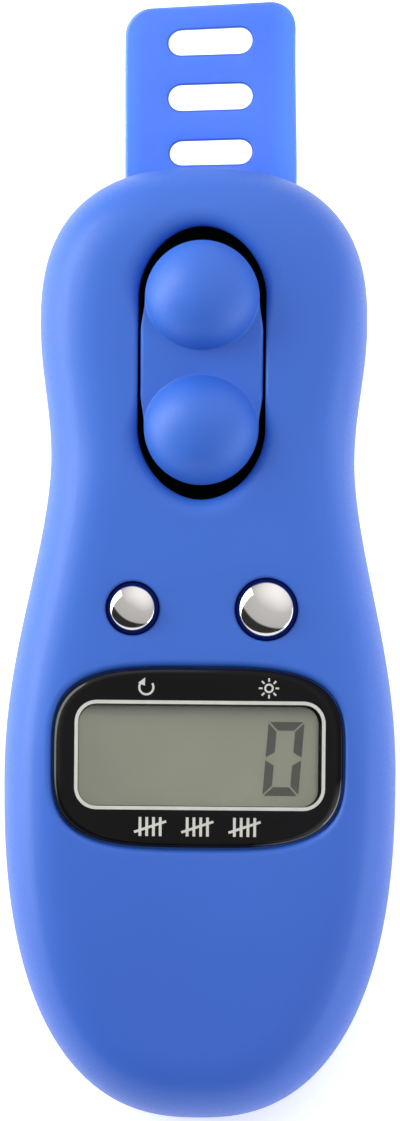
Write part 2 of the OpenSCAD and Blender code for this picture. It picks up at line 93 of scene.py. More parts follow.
# ---------------------------------------------------------------- mesh helpers
class Build:
    def __init__(self):
        self.v, self.f = [], []

    def add(self, pts):
        n = len(self.v)
        self.v.extend(tuple(float(c) for c in p) for p in pts)
        return list(range(n, len(self.v)))

    def strip(self, a, b):
        n = len(a)
        for i in range(n):
            j = (i + 1) % n
            self.f.append((a[i], a[j], b[j], b[i]))

    def chain(self, rings):
        for a, b in zip(rings, rings[1:]):
            self.strip(a, b)

    def cap(self, ring):
        self.f.append(tuple(ring))

    def fan(self, ring, p):
        c = self.add([p])[0]
        for i in range(len(ring)):
            self.f.append((ring[i], ring[(i + 1) % len(ring)], c))

    def patch(self, loops, inner, lift):
        """Fills between loops (lists of vertex indices, the outer one first) in plan, with inner points lifted by a function."""
        ids = [i for l in loops for i in l]
        co = [Vector(self.v[i][:2]) for i in ids]
        edges, k = [], 0
        for l in loops:
            edges += [(k + i, k + (i + 1) % len(l)) for i in range(len(l))]
            k += len(l)
        if len(inner):
            ids = ids + self.add([(p[0], p[1], z) for p, z in zip(inner, lift(np.asarray(inner)))])
            co += [Vector((float(p[0]), float(p[1]))) for p in inner]
        vs, _, fs, orig, _, _ = delaunay_2d_cdt(co, edges, [], 0, 1e-7, True)
        polys = [np.array([self.v[i][:2] for i in l]) for l in loops]
        tri = [t for t in fs if len(t) == 3]
        cen = np.array([[(vs[t[0]][k] + vs[t[1]][k] + vs[t[2]][k]) / 3 for k in (0, 1)] for t in tri])
        keep = inside(cen, polys[0])
        for p in polys[1:]:
            keep &= ~inside(cen, p)
        for t, ok in zip(tri, keep):
            if ok:
                self.f.append(tuple(ids[orig[i][0]] for i in t))

    def tube(self, c, profile, n=48):
        """Closed turned shape about z at c, from (r, z) points; ends on the axis are closed with fans."""
        rings, first, last = [], None, None
        for r, z in profile:
            if r <= 1e-9:
                if not rings:
                    first = (c[0], c[1], z)
                else:
                    last = (c[0], c[1], z)
                continue
            rings.append(self.add([(c[0] + r * cos(2 * pi * i / n), c[1] + r * sin(2 * pi * i / n), z) for i in range(n)]))
        self.chain(rings)
        if first:
            self.fan(rings[0], first)
        if last:
            self.fan(rings[-1], last)
        if not first and not last:
            self.strip(rings[-1], rings[0])

    def rod_x(self, y, z, r, x0, x1, e=0.12, n=40, bore=0.0):
        """Closed round bar along x with softened ends, bored through if a bore radius is given."""
        prof = [(x0, r - e), (x0 + e * 0.3, r - e * 0.3), (x0 + e, r), (x1 - e, r), (x1 - e * 0.3, r - e * 0.3), (x1, r - e)]
        prof += [(x1, bore), (x0, bore)] if bore else []
        rings = [self.add([(x, y + q * cos(2 * pi * i / n), z + q * sin(2 * pi * i / n)) for i in range(n)]) for x, q in prof]
        self.chain(rings)
        if bore:
            self.strip(rings[-1], rings[0])
        else:
            self.fan(rings[0], (x0, y, z))
            self.fan(rings[-1], (x1, y, z))

    def box(self, x0, x1, y0, y1, z0, z1):
        b = self.add([(x, y, z) for z in (z0, z1) for x, y in ((x0, y0), (x1, y0), (x1, y1), (x0, y1))])
        self.f += [(b[0], b[3], b[2], b[1]), (b[4], b[5], b[6], b[7])]
        for i in range(4):
            j = (i + 1) % 4
            self.f.append((b[i], b[j], b[4 + j], b[4 + i]))

    def object(self, name, mat, body, node=None, sharp=32.0):
        me = bpy.data.meshes.new(name)
        bm = bmesh.new()
        vs = [bm.verts.new(REST @ Vector(p)) for p in self.v]
        for f in self.f:
            try:
                bm.faces.new([vs[i] for i in f])
            except ValueError:
                pass
        loose = [v for v in bm.verts if not v.link_faces]
        bmesh.ops.delete(bm, geom=loose, context="VERTS")
        bmesh.ops.recalc_face_normals(bm, faces=bm.faces)
        lim = math.radians(sharp)
        for f in bm.faces:
            f.smooth = True
        for e in bm.edges:
            e.smooth = len(e.link_faces) == 2 and e.calc_face_angle(0.0) < lim
        bm.to_mesh(me)
        bm.free()
        ob = bpy.data.objects.new(name, me)
        bpy.context.scene.collection.objects.link(ob)
        me.materials.append(mat)
        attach(ob, body)
        if node:
            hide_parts(node)
        return ob


def inside(p, poly):
    x, y = p[:, 0], p[:, 1]
    hit = np.zeros(len(p), bool)
    q = np.roll(poly, -1, axis=0)
    for (x1, y1), (x2, y2) in zip(poly, q):
        if y1 == y2:
            continue
        m = (y1 > y) != (y2 > y)
        hit ^= m & (x < (x2 - x1) * (y - y1) / (y2 - y1) + x1)
    return hit


def near(p, poly):
    """Distance from each point to a closed polyline."""
    a, b = poly, np.roll(poly, -1, axis=0)
    d = b - a
    l2 = np.maximum((d * d).sum(1), 1e-12)
    out = np.full(len(p), 1e9)
    for s in range(0, len(p), 400):
        q = p[s:s + 400, None, :] - a[None]
        t = np.clip((q * d[None]).sum(2) / l2[None], 0, 1)
        e = q - t[..., None] * d[None]
        out[s:s + 400] = np.sqrt((e * e).sum(2).min(1))
    return out


def grid(lo, hi, step, loops, margin):
    """Hexagonal points inside the first loop, outside the others, and not closer to any than margin."""
    pts, row, y = [], 0, lo[1]
    while y < hi[1]:
        x = lo[0] + (step / 2 if row % 2 else 0)
        while x < hi[0]:
            pts.append((x, y))
            x += step
        y += step * 0.866
        row += 1
    p = np.array(pts)
    keep = inside(p, loops[0])
    for l in loops[1:]:
        keep &= ~inside(p, l)
    p = p[keep]
    for l in loops:
        p = p[near(p, l) > margin]
    return p


def normals_of(loop):
    """Outward unit normals of a closed loop that runs clockwise or not."""
    t = np.roll(loop, -1, axis=0) - np.roll(loop, 1, axis=0)
    n = np.stack([t[:, 1], -t[:, 0]], 1)
    n /= np.linalg.norm(n, axis=1)[:, None]
    q = np.roll(loop, -1, axis=0)
    ccw = (loop[:, 0] * q[:, 1] - q[:, 0] * loop[:, 1]).sum() > 0
    return n if ccw else -n


def even(loop, n):
    """n points at even steps along a closed loop."""
    c = np.vstack([loop, loop[:1]])
    s = np.concatenate([[0], np.cumsum(np.linalg.norm(np.diff(c, axis=0), axis=1))])
    t = np.linspace(0, s[-1], n, endpoint=False)
    return np.stack([np.interp(t, s, c[:, k]) for k in (0, 1)], 1)


def circle(c, r, n):
    return np.array([(c[0] + r * cos(2 * pi * i / n), c[1] + r * sin(2 * pi * i / n)) for i in range(n)])


def stadium(cx, cy, w, l, n=24):
    """Slot outline with its long way along y, counter-clockwise."""
    r, h = w / 2, (l - w) / 2
    pts = [(cx + r * cos(a), cy + h + r * sin(a)) for a in np.linspace(0, pi, n)]
    pts += [(cx + r * cos(a), cy - h + r * sin(a)) for a in np.linspace(pi, 2 * pi, n)]
    return np.array(pts)


def round_rect(cx, cy, w, h, r, n=10):
    pts = []
    for sx, sy, a0 in ((1, 1, 0), (-1, 1, pi / 2), (-1, -1, pi), (1, -1, 3 * pi / 2)):
        for a in np.linspace(a0, a0 + pi / 2, n):
            pts.append((cx + sx * (w / 2 - r) + r * cos(a), cy + sy * (h / 2 - r) + r * sin(a)))
    return np.array(pts)


def bow(g, n=2000):
    pts = []
    for i in range(n):
        a = 2 * pi * i / n
        c, s = cos(a), sin(a)
        pts.append((math.copysign(abs(c) ** (2 / BEZ_N), c) * (BEZ_A + g), DISP_Y + math.copysign(abs(s) ** (2 / BEZ_N), s) * (BEZ_B + g)))
    return np.array(pts)


# ---------------------------------------------------------------- outline and surfaces of the case
def smooth(t):
    t = min(1.0, max(0.0, t))
    return t * t * (3 - 2 * t)


def ease(t):
    return (1 - cos(pi * t)) / 2


def side_x(y):
    if y > WAIST_Y:
        return (HEAD_W + (WAIST_W - HEAD_W) * ease((HEAD_Y - y) / (HEAD_Y - WAIST_Y))) / 2
    return (WAIST_W + (BELLY_W - WAIST_W) * ease(((WAIST_Y - y) / (WAIST_Y - BELLY_Y)) ** 0.87)) / 2


def end_pt(w, n, y0, reach, a):
    return (w / 2 * max(0.0, cos(a)) ** (2 / n), y0 + reach * sin(a) ** (2 / n))


def outline(nh, ns, nb):
    r = [end_pt(HEAD_W, HEAD_N, HEAD_Y, HALF_L - HEAD_Y, pi / 2 * (1 - i / nh)) for i in range(nh)]
    for i in range(ns):
        y = HEAD_Y + (BELLY_Y - HEAD_Y) * i / ns
        r.append((side_x(y), y))
    r += [end_pt(BELLY_W, BELLY_N, BELLY_Y, -HALF_L - BELLY_Y, pi / 2 * i / nb) for i in range(nb + 1)]
    l = [(-x, y) for x, y in r[-2:0:-1]]
    return np.array(r + l)


EDGE = even(outline(400, 500, 500), 1200)
RIM = even(outline(400, 500, 500), 400)
RIM_N = -normals_of(RIM)  # inward


def inset(d):
    return RIM + RIM_N * d


def bulge(d, r=FACE_R):
    return (1 - (1 - np.clip(d / r, 0, 1)) ** FACE_N) ** (1 / FACE_N)


def unbulge(g):
    return FACE_R * (1 - (1 - g ** FACE_N) ** (1 / FACE_N))


def rise(d):
    return CAMBER * (1 - (1 - np.clip(d / 11.0, 0, 1)) ** 2)


def face_z(p, d=None):
    p = np.asarray(p, float)
    d = near(p, EDGE) if d is None else d
    # the rounding is broader along the sides of the head
    r = np.array([FACE_R + 0.9 * smooth((y - 9) / 6) * (1 - smooth((y - 25) / 6)) for y in p[:, 1]])
    return PART_Z + (crown(p[:, 1]) - CAMBER - PART_Z) * bulge(d, r) + rise(d)


def under_z(p, d=None):
    p = np.asarray(p, float)
    d = np.maximum((near(p, EDGE) if d is None else d) - WALL, 0)
    return PART_Z + (crown(p[:, 1]) - CAMBER - WALL - PART_Z) * bulge(d) + rise(d)


def back_z(p):
    d = np.clip(near(np.asarray(p, float), EDGE) / BACK_R, 0, 1)
    return PART_Z * (1 - np.sqrt(np.maximum(0, 1 - (1 - d) ** 2)))


def floor_z(p):
    d = np.clip((near(np.asarray(p, float), EDGE) - WALL) / (BACK_R - WALL), 0, 1)
    return WALL + (PART_Z - WALL) * (1 - np.sqrt(np.maximum(0, 1 - (1 - d) ** 2)))


def xyz(p, z):
    z = np.broadcast_to(z, (len(p),))
    return [(a, b, c) for (a, b), c in zip(p, z)]


# ---------------------------------------------------------------- materials
def lin(r, g, b):
    f = lambda c: c / 12.92 if c <= 0.04045 else ((c + 0.055) / 1.055) ** 2.4
    return (f(r / 255), f(g / 255), f(b / 255), 1.0)


def material(name, low, high, rough, grain, bump, depth, metallic=0.0, spec=0.5, patch=60.0, rough_var=0.06, **extra):
    """Principled material whose colour and gloss drift slowly over the surface, with a fine moulded grain as bump."""
    m = bpy.data.materials.new(name)
    m.use_nodes = True
    nt = m.node_tree
    b = nt.nodes["Principled BSDF"]
    tc = nt.nodes.new("ShaderNodeTexCoord")
    slow = nt.nodes.new("ShaderNodeTexNoise")
    slow.inputs["Scale"].default_value = patch
    slow.inputs["Detail"].default_value = 3.0
    nt.links.new(tc.outputs["Object"], slow.inputs["Vector"])
    ramp = nt.nodes.new("ShaderNodeValToRGB")
    ramp.color_ramp.elements[0].position, ramp.color_ramp.elements[1].position = 0.3, 0.7
    ramp.color_ramp.elements[0].color, ramp.color_ramp.elements[1].color = low, high
    nt.links.new(slow.outputs["Fac"], ramp.inputs["Fac"])
    nt.links.new(ramp.outputs["Color"], b.inputs["Base Color"])
    gr = nt.nodes.new("ShaderNodeTexNoise")
    gr.inputs["Scale"].default_value = grain
    gr.inputs["Detail"].default_value = 2.0
    nt.links.new(tc.outputs["Object"], gr.inputs["Vector"])
    rr = nt.nodes.new("ShaderNodeMapRange")
    rr.inputs["From Min"].default_value, rr.inputs["From Max"].default_value = 0.3, 0.7
    rr.inputs["To Min"].default_value, rr.inputs["To Max"].default_value = max(0.0, rough - rough_var), min(1.0, rough + rough_var)
    nt.links.new(gr.outputs["Fac"], rr.inputs["Value"])
    nt.links.new(rr.outputs["Result"], b.inputs["Roughness"])
    if bump:
        bp = nt.nodes.new("ShaderNodeBump")
        bp.inputs["Strength"].default_value = bump
        bp.inputs["Distance"].default_value = depth
        nt.links.new(gr.outputs["Fac"], bp.inputs["Height"])
        nt.links.new(bp.outputs["Normal"], b.inputs["Normal"])
    b.inputs["Metallic"].default_value = metallic
    b.inputs["Specular IOR Level"].default_value = spec
    for k, v in extra.items():
        b.inputs[k.replace("_", " ")].default_value = v
    return m


def place_along(nt, vx, vy, lo, hi):
    """Position along a direction of the flat drawing, lo to hi in mm mapped to 0 to 1."""
    tc = next(n for n in nt.nodes if n.type == "TEX_COORD")
    way = Vector((vx, vy * cos(TILT), vy * sin(TILT)))
    d = nt.nodes.new("ShaderNodeVectorMath")
    d.operation = "DOT_PRODUCT"
    d.inputs[1].default_value = way
    nt.links.new(tc.outputs["Object"], d.inputs[0])
    m = nt.nodes.new("ShaderNodeMapRange")
    zero = W(0, 0, 13).dot(way)
    m.inputs["From Min"].default_value, m.inputs["From Max"].default_value = zero + lo / 1000, zero + hi / 1000
    nt.links.new(d.outputs["Value"], m.inputs["Value"])
    return m.outputs["Result"]


BLUE = material("case_blue", lin(44, 95, 196), lin(48, 100, 201), 0.49, 5200.0, 0.10, 2.0e-5, spec=0.5, patch=45.0)
# painted shade: the case colour is darkened towards its lower end
_nt = BLUE.node_tree
_mix = _nt.nodes.new("ShaderNodeMix")
_mix.data_type, _mix.blend_type = "RGBA", "MULTIPLY"
_mix.inputs[7].default_value = (0.83, 0.84, 0.91, 1)
_nt.links.new(place_along(_nt, 0, -1, 4, 22), _mix.inputs[0])
_nt.links.new(next(n for n in _nt.nodes if n.type == "VALTORGB").outputs["Color"], _mix.inputs[6])
_nt.links.new(_mix.outputs[2], _nt.nodes["Principled BSDF"].inputs["Base Color"])
BLUE_KEY = material("key_blue", lin(43, 95, 198), lin(47, 101, 204), 0.51, 5600.0, 0.08, 2.0e-5, spec=0.5, patch=70.0)
STRAP = material("strap_blue", lin(75, 125, 241), lin(82, 133, 248), 0.42, 3800.0, 0.10, 2.5e-5, spec=0.45, patch=80.0, Subsurface_Weight=0.6, Subsurface_Scale=0.002)
# painted shade: a darker blue for the slot walls, where shade falls inside the slots
STRAP_SLOT_SHADE = material("strap_slot_painted_shade", lin(48, 92, 205), lin(56, 102, 215), 0.45, 3800.0, 0.10, 2.5e-5, spec=0.4, patch=80.0)
# painted light: the strap colour is paler towards its long edges, standing for light through the thin translucent edge
_nt = STRAP.node_tree
_tc = next(n for n in _nt.nodes if n.type == "TEX_COORD")
_ramp = next(n for n in _nt.nodes if n.type == "VALTORGB")
_sep = _nt.nodes.new("ShaderNodeSeparateXYZ")
_nt.links.new(_tc.outputs["Object"], _sep.inputs["Vector"])
_abs = _nt.nodes.new("ShaderNodeMath")
_abs.operation = "ABSOLUTE"
_nt.links.new(_sep.outputs["X"], _abs.inputs[0])
_mr = _nt.nodes.new("ShaderNodeMapRange")
_mr.interpolation_type = "SMOOTHSTEP"
_mr.inputs["From Min"].default_value, _mr.inputs["From Max"].default_value = 0.0043, 0.0064
_mr.inputs["To Max"].default_value = 0.55
_nt.links.new(_abs.outputs["Value"], _mr.inputs["Value"])
_mix = _nt.nodes.new("ShaderNodeMix")
_mix.data_type = "RGBA"
_mix.inputs[7].default_value = lin(92, 156, 246)
_nt.links.new(_mr.outputs["Result"], _mix.inputs[0])
_nt.links.new(_ramp.outputs["Color"], _mix.inputs[6])
_nt.links.new(_mix.outputs[2], _nt.nodes["Principled BSDF"].inputs["Base Color"])
# painted shade: the skirts under the plated caps are coloured dark navy for the shade in the ring gap
COLLAR_SHADE = material("key_collar_painted_shade", lin(15, 42, 150), lin(20, 48, 162), 0.5, 5200.0, 0.08, 2.0e-5, spec=0.12, patch=70.0)
CHROME = material("plated", lin(203, 199, 197), lin(211, 208, 205), 0.07, 1500.0, 0.02, 1.0e-5, metallic=1.0, patch=200.0, rough_var=0.025)
BLACK = material("bezel_black", lin(10, 9, 11), lin(15, 13, 16), 0.13, 2600.0, 0.02, 1.0e-5, spec=0.12, patch=120.0, rough_var=0.03)
# painted highlight: the specular level of the bezel's rounded edge is raised at its left end and its lower right corner
_nt = BLACK.node_tree
_pos = place_along(_nt, 0.6, -0.8, -5.44, 18.56)
_painted_shine = _nt.nodes.new("ShaderNodeValToRGB")
for k, (pos, v) in enumerate([(0.28, 0.3), (0.35, 0.12), (0.5, 0.06), (0.8, 0.04), (0.846, 0.7)]):
    el = _painted_shine.color_ramp.elements[k] if k < 2 else _painted_shine.color_ramp.elements.new(pos)
    el.position, el.color = pos, (v, v, v, 1)
_nt.links.new(_pos, _painted_shine.inputs["Fac"])
_lw = _nt.nodes.new("ShaderNodeLayerWeight")
_edge = _nt.nodes.new("ShaderNodeMapRange")
_edge.inputs["From Min"].default_value, _edge.inputs["From Max"].default_value = 0.02, 0.1
_nt.links.new(_lw.outputs["Facing"], _edge.inputs["Value"])
_mix = _nt.nodes.new("ShaderNodeMix")
_mix.data_type = "FLOAT"
_mix.inputs[2].default_value = 0.12
_nt.links.new(_edge.outputs["Result"], _mix.inputs[0])
_nt.links.new(_painted_shine.outputs["Color"], _mix.inputs[3])
_nt.links.new(_mix.outputs[0], _nt.nodes["Principled BSDF"].inputs["Specular IOR Level"])
PRINT = material("pale_print", lin(188, 186, 182), lin(199, 197, 193), 0.5, 7000.0, 0.1, 1.0e-5, patch=900.0)
LCD = material("lcd_polariser", lin(120, 120, 107), lin(127, 127, 113), 0.38, 9000.0, 0.05, 0.5e-5, spec=0.4, patch=140.0)
# the display glass lies in the shade of its window's upper edge, and less of its right edge
_nt = LCD.node_tree
_col = next(n for n in _nt.nodes if n.type == "VALTORGB").outputs["Color"]
for _vx, _vy, _lo, _hi, _v in ((0, 1, -5.55, -4.5, 0.02), (1, 0, 8.1, 8.55, 0.35)):
    _pow = _nt.nodes.new("ShaderNodeMath")
    _pow.operation = "POWER"
    _pow.inputs[1].default_value = 1.8
    _nt.links.new(place_along(_nt, _vx, _vy, _lo, _hi), _pow.inputs[0])
    _mix = _nt.nodes.new("ShaderNodeMix")
    _mix.data_type, _mix.blend_type = "RGBA", "MULTIPLY"
    _mix.inputs[7].default_value = (_v, _v, _v, 1)
    _nt.links.new(_pow.outputs["Value"], _mix.inputs[0])
    _nt.links.new(_col, _mix.inputs[6])
    _col = _mix.outputs[2]
_nt.links.new(_col, _nt.nodes["Principled BSDF"].inputs["Base Color"])
SEGMENT = material("lcd_segment", lin(50, 50, 46), lin(58, 58, 52), 0.5, 9000.0, 0.05, 0.5e-5, spec=0.1, patch=500.0)
# painted shade: the pivot pin is coloured near-black so it reads as the shade in the key's side gap
PIN_DARK_AS_SHADE = material("pin_dark_as_shade", lin(10, 11, 14), lin(15, 16, 20), 0.7, 2400.0, 0.08, 1.0e-5, spec=0.15, patch=260.0)
# painted shade: the pad under the count key is coloured near-black so the key's opening reads as shade
PAD_DARK_AS_SHADE = material("key_pad_dark_as_shade", lin(16, 17, 20), lin(24, 25, 28), 0.85, 3600.0, 0.1, 1.5e-5, spec=0.06, patch=160.0)
STEEL = material("steel", lin(176, 177, 180), lin(192, 193, 196), 0.28, 2400.0, 0.08, 1.0e-5, metallic=1.0, patch=260.0)
WHITE = material("white_moulding", lin(228, 227, 222), lin(236, 235, 231), 0.5, 3200.0, 0.08, 1.5e-5, patch=110.0)
GUIDE = material("light_guide", lin(222, 228, 232), lin(232, 237, 240), 0.3, 2600.0, 0.05, 1.0e-5, patch=160.0)
LAMP = material("lamp_body", lin(236, 228, 190), lin(244, 238, 206), 0.3, 3000.0, 0.05, 1.0e-5, patch=600.0)
# painted shade: the board's green is darkened nearly to black so the gap around the count key reads as shade
BOARD_DARK_AS_SHADE = material("board_green", lin(4, 24, 16), lin(7, 32, 22), 0.8, 1800.0, 0.06, 1.5e-5, spec=0.06, patch=420.0)
CHIP = material("chip_black", lin(26, 26, 28), lin(36, 36, 38), 0.55, 4200.0, 0.1, 1.5e-5, patch=500.0)
PARTS = material("ceramic_parts", lin(134, 104, 72), lin(156, 124, 88), 0.45, 4200.0, 0.08, 1.0e-5, patch=900.0)
CONTACT = material("contact_spring", lin(196, 168, 104), lin(212, 186, 124), 0.26, 2200.0, 0.06, 1.0e-5, metallic=1.0, patch=300.0)
RUBBER = material("grey_silicone", lin(120, 122, 126), lin(134, 136, 140), 0.6, 3600.0, 0.1, 1.5e-5, patch=160.0)
ZEBRA = material("layered_silicone", lin(34, 34, 36), lin(58, 58, 62), 0.6, 3600.0, 0.1, 1.5e-5, patch=1800.0)
DARK = material("dark_moulding", lin(24, 24, 26), lin(34, 34, 36), 0.5, 3600.0, 0.1, 1.5e-5, patch=140.0)
LENS = material("clear_lens", lin(246, 248, 246), lin(252, 253, 252), 0.03, 2000.0, 0.0, 1.0e-5, patch=90.0, rough_var=0.015, Transmission_Weight=1.0, IOR=1.49)

for node, mat in {
    "case_screws": STEEL, "rocker_pin": PIN_DARK_AS_SHADE, "rocker_rubber_pad": PAD_DARK_AS_SHADE, "reset_rubber_dome": RUBBER,
    "light_rubber_dome": RUBBER, "display_lens": LENS, "lcd_panel": LCD, "lcd_holder": WHITE, "zebra_strips": ZEBRA,
    "backlight_guide": GUIDE, "backlight_led": LAMP, "main_board": BOARD_DARK_AS_SHADE, "board_screws": STEEL, "controller_chip": CHIP,
    "board_components": PARTS, "battery_cell": STEEL, "cell_holder": DARK, "battery_contact_positive": CONTACT,
    "battery_contact_negative": CONTACT, "strap_keeper": DARK, "strap_keeper_screws": STEEL, "strap_hook": BLUE,
    "front_shell": BLUE, "rear_cover": BLUE, "count_rocker": BLUE_KEY, "reset_button": CHROME, "light_button": CHROME,
    "display_bezel": BLACK, "finger_strap": STRAP, "battery_door": BLUE,
}.items():
    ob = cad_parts[node]
    for s in ob.material_slots:
        s.material = mat
    if not ob.material_slots:
        ob.data.materials.append(mat)
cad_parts["display_lens"].visible_shadow = False


# ---------------------------------------------------------------- front shell
def hole(b, loop, lip, drop, top, bottom, steps=8):
    """Rolled-in edge of a hole: rings from lip outside the loop down to its wall and to the inner surface. Returns the outer and the inner ring."""
    n = normals_of(loop)
    lip, drop = np.broadcast_to(lip, (len(loop),)), np.broadcast_to(drop, (len(loop),))
    rings = []
    for k in range(steps + 1):
        a = pi / 2 * k / steps
        p = loop + n * (lip * (1 - sin(a)))[:, None]
        rings.append(b.add(xyz(p, top(p) - drop * (1 - cos(a)))))
    z0 = np.array([b.v[i][2] for i in rings[-1]])
    z1 = bottom(loop)
    for t in (0.5, 1.0):
        rings.append(b.add(xyz(loop, z0 + (z1 - z0) * t)))
    b.chain(rings)
    return rings[0], rings[-1]


b = Build()
lowz = [(WALL, 0.0), (0.13, 0.0), (0.045, 0.08), (0.0, 0.2)]
rings = [b.add(xyz(inset(d), PART_Z + z)) for d, z in lowz]
rim_in = rings[0]
for g in np.concatenate([np.linspace(0.05, 0.6, 10), np.linspace(0.6, 0.93, 20)[1:]]):
    d = unbulge(g)
    p = inset(d)
    rings.append(b.add(xyz(p, face_z(p, np.full(len(p), d)))))
b.chain(rings)
outer = rings[-1]
# opening of the count key: straight sides and slightly pointed ends
OPEN_C = 4.63
open_loop = []
for k in range(2000):
    c, s = cos(2 * pi * k / 2000), sin(2 * pi * k / 2000)
    open_loop.append((math.copysign(abs(c) ** (2 / 1.92), c) * OPEN_W / 2,
                      ROCKER_Y + math.copysign(OPEN_C + abs(s) ** (2 / 1.92) * (OPEN_L / 2 - OPEN_C), s)))
open_loop = even(np.array(open_loop), 240)
roll_in = np.array([smooth((abs(y - ROCKER_Y) - 2.2) / 4.2) for y in open_loop[:, 1]])
well_loop = even(bow(0.16), 300)
holes = [
    hole(b, open_loop, 0.34 + 1.11 * roll_in, 0.26 + 0.74 * roll_in, face_z, under_z, 12),
    hole(b, circle(RESET, RESET_HOLE, 72), 0.22, 0.2, face_z, under_z, 5),
    hole(b, circle(LIGHT, LIGHT_HOLE, 80), 0.22, 0.2, face_z, under_z, 5),
    hole(b, well_loop, 0.5, 0.4, face_z, under_z, 8),
]
loops = [outer] + [h[0] for h in holes]
polys = [np.array([b.v[i][:2] for i in l]) for l in loops]
b.patch(loops, grid((-14, -34), (14, 34), 0.55, polys, 0.3), face_z)
rings = [rim_in]
for g in np.linspace(0.1, 0.8, 8):
    d = WALL + unbulge(g)
    p = inset(d)
    rings.append(b.add(xyz(p, under_z(p, np.full(len(p), d)))))
b.chain(rings)
loops = [rings[-1]] + [h[1] for h in holes]
polys = [np.array([b.v[i][:2] for i in l]) for l in loops]
b.patch(loops, grid((-14, -34), (14, 34), 1.1, polys, 0.5), under_z)
for s in SCREWS:
    b.tube(s, [(0, 11.0), (2.1, 11.0), (2.1, 5.62), (0.86, 5.62), (0.86, 9.0), (0, 9.0)], 40)
for x in (-8.3, 8.3):
    b.tube((x, -0.6), [(0, 11.6), (1.5, 11.6), (1.5, 7.02), (0.71, 7.02), (0.71, 10.0), (0, 10.0)], 36)
for s in (-1, 1):
    b.box(s * 5.8 - 0.8, s * 5.8 + 0.8, ROCKER_Y - 2.2, ROCKER_Y + 2.2, 8.1, 11.2)
# ledge that carries the bezel, open in the middle for the display
ledge_in, ledge_w, ledge_out = even(round_rect(0, DISP_Y, 18.5, 8.6, 0.1), 220), even(bow(0.2), 300), even(bow(0.9), 300)
inner = [b.add(xyz(ledge_in, z)) for z in (10.4, LEDGE_Z)]
rings = [b.add(xyz(ledge_w, LEDGE_Z)), b.add(xyz(ledge_w, 11.8)), b.add(xyz(ledge_out, 11.8)), b.add(xyz(ledge_out, 10.4))]
b.chain(inner)
b.chain(rings)
b.patch([rings[0], inner[1]], [], None)
b.patch([rings[-1], inner[0]], [], None)
front = b.object("front_shell_skin", BLUE, "case", "front_shell")

# ---------------------------------------------------------------- rear cover
b = Build()
rings = [b.add(xyz(inset(d), PART_Z - z)) for d, z in lowz]
rim_in = rings[0]
for a in np.linspace(math.asin(0.06), math.radians(47), 14):
    rings.append(b.add(xyz(inset(BACK_R * (1 - cos(a))), PART_Z * (1 - sin(a)))))
b.chain(rings)
outer = rings[-1]


def hole_up(b, loop, lip, wall_to):
    n = normals_of(loop)
    rings = []
    for k in range(5):
        e = lip * (1 - sin(pi / 2 * k / 4))
        p = loop + n * e
        rings.append(b.add(xyz(p, back_z(p) + lip * (1 - math.sqrt(max(0.0, 1 - (1 - e / lip) ** 2))))))
    for p, z in wall_to:
        rings.append(b.add(xyz(p, z)))
    b.chain(rings)
    return rings[0], rings[-1]


holes = []
for s in SCREWS:
    c = circle(s, 1.75, 56)
    holes.append(hole_up(b, c, 0.14, [(c, floor_z(c))]))
c, c2 = circle((0, CELL_Y), 8.85, 160), circle((0, CELL_Y), 8.2, 160)
holes.append(hole_up(b, c, 0.14, [(c, 0.7), (c2, 0.7), (c2, WALL)]))
slot_loop = even(round_rect(0, 4.21, 12.9, 2.0, 0.3), 160)
# it opens out inside into a seat for the strap's bead
seat_loop = even(round_rect(0, BEAD_Y, 12.9, 2.7, 0.3), 160)
holes.append(hole_up(b, slot_loop, 0.3, [(slot_loop, 1.05), (seat_loop, WALL)]))
loops = [outer] + [h[0] for h in holes]
polys = [np.array([b.v[i][:2] for i in l]) for l in loops]
b.patch(loops, grid((-14, -34), (14, 34), 0.75, polys, 0.35), back_z)
rings = [rim_in]
for a in np.linspace(0.15, math.radians(30), 4):
    rings.append(b.add(xyz(inset(WALL + (BACK_R - WALL) * (1 - cos(a))), PART_Z - (PART_Z - WALL) * sin(a))))
b.chain(rings)
loops = [rings[-1]] + [h[1] for h in holes]
polys = [np.array([b.v[i][:2] for i in l]) for l in loops]
b.patch(loops, grid((-14, -34), (14, 34), 1.3, polys, 0.5), floor_z)
for s in SCREWS:
    b.tube(s, [(1.75, 1.3), (2.6, 1.9), (2.6, 5.5), (1.0, 5.5), (1.0, 3.4), (1.75, 3.4)], 56)
for s in (-1, 1):
    b.tube((s * 3.3, 12.5), [(0, 1.2), (1.2, 1.2), (1.2, 5.96), (0, 5.96)], 32)
    b.box(s * 7.75 - 1.25, s * 7.75 + 1.25, 0.8, 7.6, 1.2, 2.28)
rear = b.object("rear_cover_skin", BLUE, "case", "rear_cover")

# ---------------------------------------------------------------- count key
b = Build()
SPH = (DOME_R ** 2 + DOME_H ** 2) / (2 * DOME_H)
DOME_DY = ROCKER_L / 2 - DOME_R - 0.02
FIL = 0.14
SQUASH = 0.92                            # each dome is a little shorter towards the saddle
_zc = SADDLE_Z + DOME_H - SPH
_fz = SADDLE_Z + FIL
_fr = math.sqrt((SPH + FIL) ** 2 - (_fz - _zc) ** 2)
_tr = _fr * SPH / (SPH + FIL)


def key_z(p):
    p = np.asarray(p, float)
    z = np.full(len(p), SADDLE_Z)
    for s in (-1, 1):
        dy = p[:, 1] - ROCKER_Y - s * DOME_DY
        r = np.hypot(p[:, 0], np.where(dy * s < 0, dy / SQUASH, dy))
        ball = _zc + np.sqrt(np.maximum(SPH ** 2 - r ** 2, 0))
        fil = _fz - np.sqrt(np.maximum(FIL ** 2 - (_fr - r) ** 2, 0))
        z = np.where(r < _tr, ball, np.where(r < _fr, np.maximum(fil, SADDLE_Z), z))
    return z


